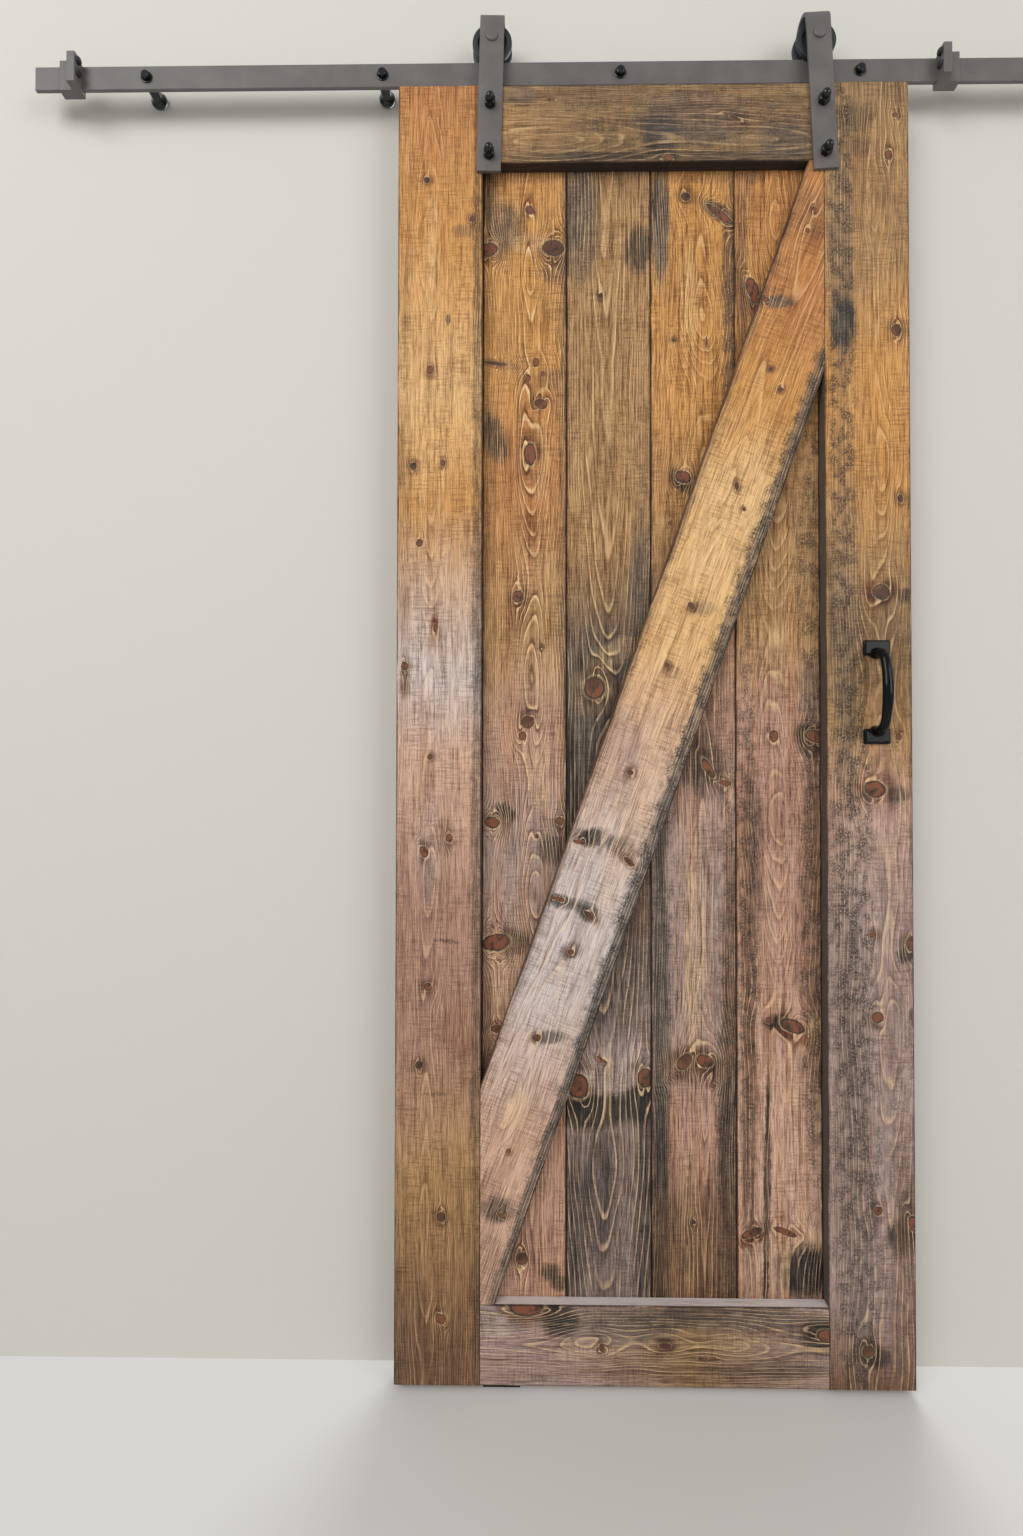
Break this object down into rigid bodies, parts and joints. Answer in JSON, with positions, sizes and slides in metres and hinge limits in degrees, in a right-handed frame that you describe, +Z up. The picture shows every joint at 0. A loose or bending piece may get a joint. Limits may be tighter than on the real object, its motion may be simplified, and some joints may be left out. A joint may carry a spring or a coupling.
{
  "type": "sliding barn door",
  "caption": "Plank barn door with a diagonal brace, hung by bent strap hangers and grooved wheels from a flat steel rail, with a cast pull.",
  "frame": {"origin": "on the wall's face, on the axis of the rail's middle bolt", "axes": "+X along the rail to the right as seen from the room, +Y into the wall, +Z up"},
  "size_m": [1.98, 0.1435, 2.2967],
  "materials": {
    "pine_left_stile": "stained knotty pine",
    "pine_right_stile": "stained knotty pine",
    "pine_top_rail": "stained knotty pine",
    "pine_bottom_rail": "stained knotty pine",
    "pine_brace": "stained knotty pine",
    "pine_back_plank_1": "stained knotty pine",
    "pine_back_plank_2": "stained knotty pine",
    "pine_back_plank_3": "stained knotty pine",
    "pine_back_plank_4": "stained knotty pine",
    "pine_back_plank_5": "stained knotty pine",
    "pine_back_plank_6": "stained knotty pine",
    "grey_powder_coat": "satin grey powder coat",
    "black_coated_steel": "satin black",
    "bright_steel": "ground",
    "zinc_steel": "zinc plated",
    "wheel_nylon": "moulded",
    "disc_nylon": "moulded",
    "button_rubber": "soft matte",
    "gloss_black_iron": "gloss black enamel"
  },
  "bodies": {
    "track": {"floor_guide": "black_coated_steel", "floor_guide_screws": "zinc_steel", "lag_bolts": "black_coated_steel", "left_stop": "grey_powder_coat", "left_stop_buttons": "button_rubber", "left_stop_set_screws": "black_coated_steel", "rail": "grey_powder_coat", "rail_spacers": "black_coated_steel", "rail_washers": "black_coated_steel", "right_stop": "grey_powder_coat", "right_stop_buttons": "button_rubber", "right_stop_set_screws": "black_coated_steel"},
    "door": {"anti_jump_discs": "disc_nylon", "anti_jump_screws": "zinc_steel", "back_plank_1": "pine_back_plank_1", "back_plank_2": "pine_back_plank_2", "back_plank_3": "pine_back_plank_3", "back_plank_4": "pine_back_plank_4", "back_plank_5": "pine_back_plank_5", "back_plank_6": "pine_back_plank_6", "board_screws": "zinc_steel", "bottom_rail": "pine_bottom_rail", "brace": "pine_brace", "handle_bolts": "zinc_steel", "left_axle_bolt": "grey_powder_coat", "left_axle_bushes": "black_coated_steel", "left_axle_nut": "black_coated_steel", "left_bearing_inner_ring": "bright_steel", "left_dome_nuts": "black_coated_steel", "left_hanger_bolts": "black_coated_steel", "left_hanger_strap": "grey_powder_coat", "left_stile": "pine_left_stile", "pull_handle": "gloss_black_iron", "right_axle_bolt": "grey_powder_coat", "right_axle_bushes": "black_coated_steel", "right_axle_nut": "black_coated_steel", "right_bearing_inner_ring": "bright_steel", "right_dome_nuts": "black_coated_steel", "right_hanger_bolts": "black_coated_steel", "right_hanger_strap": "grey_powder_coat", "right_stile": "pine_right_stile", "top_rail": "pine_top_rail"},
    "left_wheel": {"left_wheel": "wheel_nylon", "left_bearing_outer_ring": "bright_steel", "left_bearing_shields": "bright_steel"},
    "left_ball_set": {"left_bearing_balls": "bright_steel"},
    "right_wheel": {"right_wheel": "wheel_nylon", "right_bearing_outer_ring": "bright_steel", "right_bearing_shields": "bright_steel"},
    "right_ball_set": {"right_bearing_balls": "bright_steel"}
  },
  "joints": [
    {"name": "door_slide", "type": "slide", "parent": "track", "child": "door", "axis": [1, 0, 0], "range_m": [-0.6684, 0.1746]},
    {"name": "left_wheel_spin", "type": "hinge", "parent": "door", "child": "left_wheel", "pos_m": [-0.215, -0.041, 0.0452], "axis": [0, 1, 0], "continuous": true},
    {"name": "left_ball_orbit", "type": "hinge", "parent": "door", "child": "left_ball_set", "pos_m": [-0.215, -0.041, 0.0452], "axis": [0, 1, 0], "continuous": true},
    {"name": "right_wheel_spin", "type": "hinge", "parent": "door", "child": "right_wheel", "pos_m": [0.3245, -0.041, 0.0452], "axis": [0, 1, 0], "continuous": true},
    {"name": "right_ball_orbit", "type": "hinge", "parent": "door", "child": "right_ball_set", "pos_m": [0.3245, -0.041, 0.0452], "axis": [0, 1, 0], "continuous": true}
  ],
  "couplings": [
    {"joint": "left_wheel_spin", "follows": "door_slide", "rad_per_m": 40},
    {"joint": "left_ball_orbit", "follows": "door_slide", "rad_per_m": 25.2},
    {"joint": "right_wheel_spin", "follows": "door_slide", "rad_per_m": 40},
    {"joint": "right_ball_orbit", "follows": "door_slide", "rad_per_m": 25.2}
  ]
}
